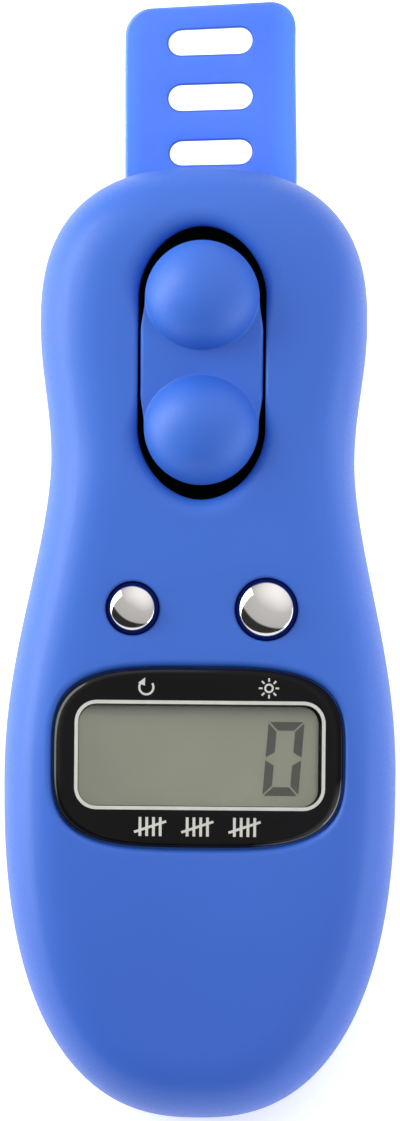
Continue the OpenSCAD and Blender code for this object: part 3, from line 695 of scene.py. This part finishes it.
END_R = 4.07
side = [(END_R + 0.28 * (1 - smooth((abs(d) - 2.1) / 2.3)), d) for d in np.linspace(-DOME_DY, DOME_DY, 61)]
key_loop = [(x, ROCKER_Y + d) for x, d in side]
key_loop += [(END_R * cos(a), ROCKER_Y + DOME_DY + END_R * sin(a)) for a in np.linspace(0, pi, 90)[1:]]
key_loop += [(-x, ROCKER_Y + d) for x, d in side[::-1][1:]]
key_loop += [(END_R * cos(a), ROCKER_Y - DOME_DY + END_R * sin(a)) for a in np.linspace(pi, 2 * pi, 90)[1:-1]]
key_loop = even(np.array(key_loop), 360)
kn = normals_of(key_loop)
RE = np.array([0.03 + 0.23 * (1 - smooth((abs(y - ROCKER_Y) - 1.4) / 2.6)) for y in key_loop[:, 1]])
rings = []
for k in range(7):
    a = pi / 2 * k / 6
    p = key_loop - kn * (RE * (1 - sin(a)))[:, None]
    rings.append(b.add(xyz(p, key_z(key_loop - kn * RE[:, None]) - RE * (1 - cos(a)))))
rings.append(b.add(xyz(key_loop, 11.4)))
rings.append(b.add(xyz(key_loop, PLATE_Z + 0.1)))
rings.append(b.add(xyz(key_loop - kn * 0.1, PLATE_Z)))
b.chain(rings)
b.cap(rings[-1])
pts = []
radii = list(np.arange(0.0, 3.0, 0.22)) + list(np.arange(3.0, 3.7, 0.12)) + list(np.arange(3.7, _tr - 0.03, 0.065))
radii += list(np.linspace(_tr, _fr, 5)) + [_fr + q for q in (0.05, 0.12, 0.22, 0.36, 0.54)]
for s in (-1, 1):
    for k, r in enumerate(radii):
        n = max(1, int(2 * pi * r / (0.24 if r < 3.4 else 0.1)))
        for i in range(n):
            a = 2 * pi * (i + 0.5 * (k % 2)) / n
            q = (r * cos(a), ROCKER_Y + s * DOME_DY + r * sin(a) * (SQUASH if s * sin(a) < 0 else 1))
            if s * (q[1] - ROCKER_Y) > 0.06:
                pts.append(q)
for y in np.arange(-0.6, 0.61, 0.2):
    for x in np.arange(-4.2, 4.21, 0.2):
        q = (x, ROCKER_Y + y)
        if all(math.hypot(q[0], (y - s * DOME_DY) / SQUASH) > radii[-1] + 0.1 for s in (-1, 1)):
            pts.append(q)
poly = np.array([b.v[i][:2] for i in rings[0]])
pts = np.array(pts)
pts = pts[inside(pts, poly)]
pts = pts[near(pts, poly) > 0.045]
b.patch([rings[0]], pts, key_z)
b.rod_x(ROCKER_Y, PIVOT_Z, 1.6, -4.2, 4.2, bore=0.79)
for s in (-1, 1):
    b.tube((0, ROCKER_Y + s * 6), [(0, 9.6), (1.2, 9.6), (1.4, 9.8), (1.4, 11.4), (0, 11.4)], 36)
key = b.object("count_key", BLUE_KEY, "rocker", "count_rocker", sharp=40)


# ---------------------------------------------------------------- plated keys
def plated(name, c, r, flange, body, node):
    r -= 0.03 + 0.13 * (r - 1.625)
    # almost flat in the middle, steeper and steeper towards a small rim rounding
    slope = lambda q: math.radians(18) * (q / (0.55 * r)) ** 1.32
    prof, z, q0 = [(0, KEY_TOP)], KEY_TOP, 0.0
    for q in np.linspace(0, 0.95 * r, 25)[1:]:
        z -= math.tan(slope((q0 + q) / 2)) * (q - q0)
        prof.append((q, z))
        q0 = q
    t1 = slope(q0)
    e = 0.05 * r / (1 - sin(t1))
    er, ez = r - e, z - e * cos(t1)
    prof += [(er + e * sin(a), ez + e * cos(a)) for a in np.linspace(t1, pi / 2, 8)[1:]]
    b = Build()
    b.tube(c, prof + [(r, 12.15), (0, 12.15)], 128)
    cap = b.object(name, CHROME, body, node, sharp=42)
    b = Build()
    b.tube(c, [(0, 12.1), (r + 0.2, 12.1), (r + 0.24, 12.06), (r + 0.24, 11.06), (flange - 0.08, 11.0), (flange, 10.92), (flange, 10.28), (flange - 0.08, 10.2), (1.2, 10.2), (1.2, 9.7), (1.12, 9.62), (0, 9.62)], 72)
    # the skirt carries the dark navy of painted shade
    b.object(name.replace("cap", "skirt"), COLLAR_SHADE, body, None, sharp=38)
    return cap


plated("reset_cap", RESET, RESET_R, 2.4, "reset_key", "reset_button")
plated("light_cap", LIGHT, LIGHT_R, 2.7, "light_key", "light_button")


# ---------------------------------------------------------------- bezel, printed line, symbols, digit
def bez_z(p):
    p = np.asarray(p, float)
    return BEZ_TOP - BEZ_SAG * (p[:, 0] / BEZ_A) ** 2


b = Build()
loop = even(bow(0), 300)
bn = normals_of(loop)
rings = [b.add(xyz(loop - bn * 0.15, LEDGE_Z + 0.02)), b.add(xyz(loop, LEDGE_Z + 0.17))]
bw = np.array([0.42 + 0.4 * smooth((abs(x) / BEZ_A - 0.6) / 0.36) for x in loop[:, 0]])
for k in range(13):
    a = pi / 2 * k / 12
    p = loop - bn * (bw * (1 - cos(a)))[:, None]
    rings.append(b.add(xyz(p, bez_z(p) - (0.2 + 0.32 * bw) * (1 - sin(a)))))
b.chain(rings)
win = even(round_rect(WIN_X, WIN_Y, WIN_W, WIN_H, 1.25), 220)
wn = normals_of(win)
wr = []
for k in range(4):
    e = 0.06 * (1 - sin(pi / 2 * k / 3))
    p = win + wn * e
    wr.append(b.add(xyz(p, bez_z(p) - 0.06 * (1 - math.sqrt(max(0.0, 1 - (1 - e / 0.06) ** 2))))))
reb = even(round_rect(0, DISP_Y, 18.7, 8.5, 0.5), 220)
# the wall leans in a little at its upper and right side
low = even(round_rect(WIN_X - 0.115, WIN_Y - 0.06, WIN_W - 0.23, WIN_H - 0.13, 1.2), 220)
wr += [b.add(xyz(low, REBATE_Z)), b.add(xyz(reb, REBATE_Z)), b.add(xyz(reb, LEDGE_Z + 0.02))]
b.chain(wr)
polys = [np.array([b.v[i][:2] for i in l]) for l in (rings[-1], wr[0])]
b.patch([rings[-1], wr[0]], grid((-11, -16), (11, 0), 0.6, polys, 0.25), bez_z)
b.patch([rings[0], wr[-1]], [], None)
bezel = b.object("bezel_frame", BLACK, "case", "display_bezel", sharp=45)
bezel.visible_shadow = False


def print_on(name, shapes, mat, base, thick=0.02):
    """Thin printed shapes, each a list of outline loops (holes after the first), laid on the surface base(p)."""
    b = Build()
    for loops in shapes:
        top = [b.add(xyz(l, base(l) + thick)) for l in loops]
        bot = [b.add(xyz(l, base(l) - thick)) for l in loops]
        for t, u in zip(top, bot):
            b.strip(t, u)
        b.patch(top, [], None)
        b.patch(bot, [], None)
    return b.object(name, mat, "case")


print_on("window_line", [[even(round_rect(WIN_X, WIN_Y, 17.81, 7.76, 1.56), 240), even(round_rect(WIN_X, WIN_Y, 17.31, 7.26, 1.3), 240)]],
         PRINT, bez_z)


def arc(cx, cy, r, w, a0, a1, n=40):
    o = [(cx + (r + w / 2) * cos(a), cy + (r + w / 2) * sin(a)) for a in np.linspace(a0, a1, n)]
    i = [(cx + (r - w / 2) * cos(a), cy + (r - w / 2) * sin(a)) for a in np.linspace(a1, a0, n)]
    return np.array(o + i)


SYM_Y = -3.2
sx, sy = -3.7, SYM_Y
a1 = math.radians(395)
reset_sym = [[arc(sx, sy, 0.5, 0.15, math.radians(120), a1)]]
hx, hy = sx + 0.5 * cos(math.radians(120)), sy + 0.5 * sin(math.radians(120))
reset_sym.append([np.array([(hx - 0.34, hy - 0.12), (hx + 0.14, hy - 0.32), (hx + 0.16, hy + 0.26)])])
lx, ly = 5.0, SYM_Y
light_sym = [[arc(lx, ly, 0.27, 0.14, 0.0, 2 * pi * 0.999, 48)]]
for k in range(8):
    a = pi / 4 * k
    d, t = np.array((cos(a), sin(a))), np.array((-sin(a), cos(a)))
    c = np.array((lx, ly))
    light_sym.append([np.array([c + d * 0.46 - t * 0.065, c + d * 0.72 - t * 0.065, c + d * 0.72 + t * 0.065, c + d * 0.46 + t * 0.065])])
tally = []
for gx in (-3.35, 0.0, 3.35):
    for k in range(4):
        x = gx - 0.72 + 0.48 * k
        tally.append([np.array([(x - 0.1, -13.75), (x + 0.1, -13.75), (x + 0.1, -12.4), (x - 0.1, -12.4)])])
    d = np.array((2.3, 0.78)) / math.hypot(2.3, 0.78)
    t = np.array((-d[1], d[0])) * 0.09
    c = np.array((gx, -13.08))
    tally.append([np.array([c - d * 1.2 - t, c + d * 1.2 - t, c + d * 1.2 + t, c - d * 1.2 + t])])
print_on("tally_symbol", tally, PRINT, bez_z)
print_on("reset_symbol", reset_sym, PRINT, bez_z)
print_on("light_symbol", light_sym, PRINT, bez_z)

# seven-segment nought at the right of the display
LCD_TOP = 12.32


def digit(cx, cy, w, h, t, slant, segs):
    """Mitred seven-segment figure, leaning by slant."""
    g, m, x, y = 0.09, 0.1, w / 2, h / 2
    a = [(-x + g, y), (x - g, y), (x - t - g, y - t), (-x + t + g, y - t)]
    bb = [(x, y - g), (x, m), (x - t, m + 0.6 * t), (x - t, y - t - g)]
    flip = lambda q, u, v: [(u * px, v * py) for px, py in q]
    shape = {"a": a, "d": flip(a, 1, -1), "b": bb, "c": flip(bb, 1, -1), "f": flip(bb, -1, 1), "e": flip(bb, -1, -1)}
    return [[np.array([(cx + px + py * math.tan(slant), cy + py) for px, py in shape[k]])] for k in segs]


print_on("display_digit", digit(6.05, -8.21, 2.55, 5.26, 0.62, math.radians(4.5), "abcdef"), SEGMENT,
         lambda p: np.full(len(p), LCD_TOP), 0.02)

# ---------------------------------------------------------------- finger strap
L1, L2, L3, L4 = BEAD_Z - RING_Z, pi * RING_MID, 5.4, 2.5 * pi / 2
S2, S3, S4, S5 = L1, L1 + L2, L1 + L2 + L3, L1 + L2 + L3 + L4
S_END = S5 + STRAP_END - 25.1


def strap_at(s, x, h):
    if s < S2:
        py, pz, ny, nz = BEAD_Y, BEAD_Z - s, 1.0, 0.0
    elif s < S3:
        a = pi + (s - S2) / RING_MID
        py, pz, ny, nz = RING_Y + RING_MID * cos(a), RING_Z + RING_MID * sin(a), -cos(a), -sin(a)
    elif s < S4:
        py, pz, ny, nz = RING_Y + RING_MID, RING_Z + (s - S3), -1.0, 0.0
    elif s < S5:
        a = pi - (s - S4) / 2.5
        py, pz, ny, nz = 25.1 + 2.5 * cos(a), -3.4 + 2.5 * sin(a), cos(a), sin(a)
    else:
        py, pz, ny, nz = 25.1 + (s - S5), -0.9, 0.0, 1.0
    y, z = py + ny * h, pz + nz * h
    w = smooth((py - 29.0) / 8.0)
    y += x * (math.tan(math.radians(2.2)) * w + math.tan(math.radians(1.3)) * smooth((py - 42.5) / 2.8))
    low = 1 - smooth((py - 33.0) / 10.0)
    return (x * (1 + 0.008 * low) + (0.16 + 0.12 * low) * smooth((s - S3) / 9.0), y, z)


b = Build()
edge = []
hw = STRAP_W / 2
for s in np.arange(0.4, S_END - 1.9, 0.45):
    edge.append((s, -hw))
edge += [(S_END - 1.9 + 1.9 * sin(a), -hw + 1.9 - 1.9 * cos(a)) for a in np.linspace(0, pi / 2, 10)]
edge += [(S_END, x) for x in np.linspace(-hw + 1.9, hw - 1.9, 12)[1:-1]]
edge += [(S_END - 1.9 + 1.9 * cos(a), hw - 1.9 + 1.9 * sin(a)) for a in np.linspace(0, pi / 2, 10)]
for s in np.arange(0.4, S_END - 1.9, 0.45)[::-1]:
    edge.append((s, hw))
edge = np.array(edge)
# the two slots behind the case, one of them on the hook, are a little larger
slot_size = [(2.05, 6.3), (2.05, 6.3), (1.76, 5.9), (1.86, 6.05), (1.86, 6.05)]
slot_loops = [even(stadium(0, 0, w, l, 30), 80) + np.array((S5 + SLOT_Y - 25.25 + 4.0 * i, 0)) for i, (w, l) in enumerate(slot_size)]
flat = Build()
tops, bots = [], []
walls = []
for l, sign, RS in [(edge, 1, 0.24)] + [(s, -1, 0.12) for s in slot_loops]:
    n = normals_of(l) * sign
    first = len(flat.f)
    rings = []
    for side in (1, -1):
        seq = [pi / 2 * k / 4 for k in range(5)]
        for a in (seq if side == 1 else seq[::-1]):
            rings.append(flat.add(xyz(l - n * RS * (1 - sin(a)), side * (STRAP_T / 2 - RS * (1 - cos(a))))))
    flat.chain(rings)
    if sign < 0:
        walls += range(first, len(flat.f))
    tops.append(rings[0])
    bots.append(rings[-1])
polys = [np.array([flat.v[i][:2] for i in l]) for l in tops]
inner = grid((0, -7), (S_END + 1, 7), 0.8, polys, 0.3)
flat.patch(tops, inner, lambda p: np.full(len(p), STRAP_T / 2))
flat.patch(bots, inner, lambda p: np.full(len(p), -STRAP_T / 2))
b.v = [strap_at(*p) for p in flat.v]
b.f = flat.f
b.rod_x(BEAD_Y, BEAD_Z, 1.4, -hw, hw, 0.25)
strap = b.object("strap_band", STRAP, "strap", "finger_strap", sharp=50)
# the slot walls take the darker blue of painted shade
strap.data.materials.append(STRAP_SLOT_SHADE)
for i in walls:
    strap.data.polygons[i].material_index = 1

# ---------------------------------------------------------------- battery door with its coin slot
b = Build()
rr = [(8.2 - 0.15, 2.05), (8.05, 0.66), (8.7, 0.64), (8.7, 0.2), (8.66, 0.1), (8.56, 0.06)]
rings = [b.add(xyz(circle((0, CELL_Y), r, 160), z)) for r, z in rr]
b.chain(rings)
b.cap(rings[0])
sl = even(stadium(0, 0, 1.9, 11, 24), 90)[:, ::-1] + np.array((0, CELL_Y))
sn = normals_of(sl)
sr = [b.add(xyz(sl + sn * 0.12, 0.06)), b.add(xyz(sl + sn * 0.04, 0.1)), b.add(xyz(sl, 0.2)), b.add(xyz(sl, 0.8))]
b.chain(sr)
b.cap(sr[-1])
polys = [np.array([b.v[i][:2] for i in l]) for l in (rings[-1], sr[0])]
b.patch([rings[-1], sr[0]], grid((-9, -20), (9, -2), 1.2, polys, 0.4), lambda p: np.full(len(p), 0.06))
for s in (0, pi):
    tb = [(7.2, a) for a in np.linspace(-0.244, 0.244, 9)], [(8.65, a) for a in np.linspace(0.244, -0.244, 9)]
    ring = [(r * cos(a + s), CELL_Y + r * sin(a + s)) for r, a in tb[0] + tb[1]]
    t0, t1 = b.add(xyz(ring, 1.66)), b.add(xyz(ring, 2.04))
    b.strip(t0, t1)
    b.cap(t0)
    b.cap(t1)
door = b.object("door_disc", BLUE, "door", "battery_door")

# soften the hook's edges
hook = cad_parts["strap_hook"]
bev = hook.modifiers.new("edge", "BEVEL")
bev.width, bev.segments, bev.limit_method, bev.angle_limit = 0.00012, 2, "ANGLE", math.radians(40)

# ---------------------------------------------------------------- floor, light, camera
me = bpy.data.meshes.new("floor")
bm = bmesh.new()
bmesh.ops.create_grid(bm, x_segments=1, y_segments=1, size=6.0)
bm.to_mesh(me)
bm.free()
floor = bpy.data.objects.new("floor", me)
bpy.context.scene.collection.objects.link(floor)
fm = material("studio_floor", lin(243, 243, 243), lin(246, 246, 246), 0.7, 40.0, 0.0, 1.0e-4, spec=0.2, patch=6.0)
fb = fm.node_tree.nodes["Principled BSDF"]
fb.inputs["Emission Color"].default_value = (1, 1, 1, 1)
fb.inputs["Emission Strength"].default_value = 0.45
me.materials.append(fm)

world = bpy.data.worlds.new("studio")
bpy.context.scene.world = world
world.use_nodes = True
wt = world.node_tree
# studio dome: white above, falling off to one dark side
wc = wt.nodes.new("ShaderNodeTexCoord")
wd = wt.nodes.new("ShaderNodeVectorMath")
wd.operation = "DOT_PRODUCT"
wd.inputs[1].default_value = (REST.to_3x3() @ Vector((-0.4096, -0.7094, -0.5736))).normalized()
wt.links.new(wc.outputs["Generated"], wd.inputs[0])
wr_ = wt.nodes.new("ShaderNodeValToRGB")
ramp = wr_.color_ramp
for k, (pos, v) in enumerate([(0.0, 1.0), (0.213, 0.545), (0.505, 0.48), (0.545, 0.03)]):
    el = ramp.elements[k] if k < 2 else ramp.elements.new(pos)
    el.position, el.color = pos, (v, v, v, 1)
half = wt.nodes.new("ShaderNodeMapRange")
half.inputs["From Min"].default_value, half.inputs["From Max"].default_value = -1.0, 1.0
wt.links.new(wd.outputs["Value"], half.inputs["Value"])
wt.links.new(half.outputs["Result"], wr_.inputs["Fac"])
wt.links.new(wr_.outputs["Color"], wt.nodes["Background"].inputs["Color"])
wt.nodes["Background"].inputs["Strength"].default_value = 1.45


def softbox(name, place, aim, sx, sy, power, tint, turn=0.0):
    l = bpy.data.lights.new(name, "AREA")
    l.shape, l.size, l.size_y, l.energy, l.color = "RECTANGLE", sx, sy, power, tint
    o = bpy.data.objects.new(name, l)
    bpy.context.scene.collection.objects.link(o)
    o.location = place
    o.rotation_mode = "QUATERNION"
    o.rotation_quaternion = (Vector(aim) - Vector(place)).to_track_quat("-Z", "Y") @ Matrix.Rotation(turn, 3, "Z").to_quaternion()
    o.visible_camera = False
    return o


mid = W(0, 4, 8)
softbox("left_box", W(-320, 110, 100), mid, 0.45, 0.18, 1.72, (0.97, 1.0, 0.87), math.radians(-50))
softbox("right_box", W(330, -130, 35), mid, 0.34, 0.11, 0.75, (0.84, 1.0, 0.98))

D = 800.0
aim_y = 5.85
view = Vector((0.021, -0.005, 1.0)).normalized()
target = W(-0.09, aim_y, 8.0)
cam_d = bpy.data.cameras.new("camera")
cam = bpy.data.objects.new("camera", cam_d)
bpy.context.scene.collection.objects.link(cam)
back = (REST.to_3x3() @ view).normalized()
up = (REST.to_3x3() @ Vector((0, 1, 0))).normalized()
zax = back
xax = up.cross(zax).normalized()
yax = zax.cross(xax)
roll = math.radians(0.5)
xr = xax * cos(roll) + yax * sin(roll)
yr = -xax * sin(roll) + yax * cos(roll)
rot = Matrix((xr, yr, zax)).transposed()
cam.matrix_world = Matrix.Translation(target + back * (D / 1000)) @ rot.to_4x4()
cam_d.sensor_width = 36.0
cam_d.sensor_fit = "AUTO"
cam_d.lens = 36.0 * D / 80.05
cam_d.clip_start, cam_d.clip_end = 0.01, 20.0
bpy.context.scene.camera = cam
bpy.context.scene.view_settings.view_transform = "Standard"
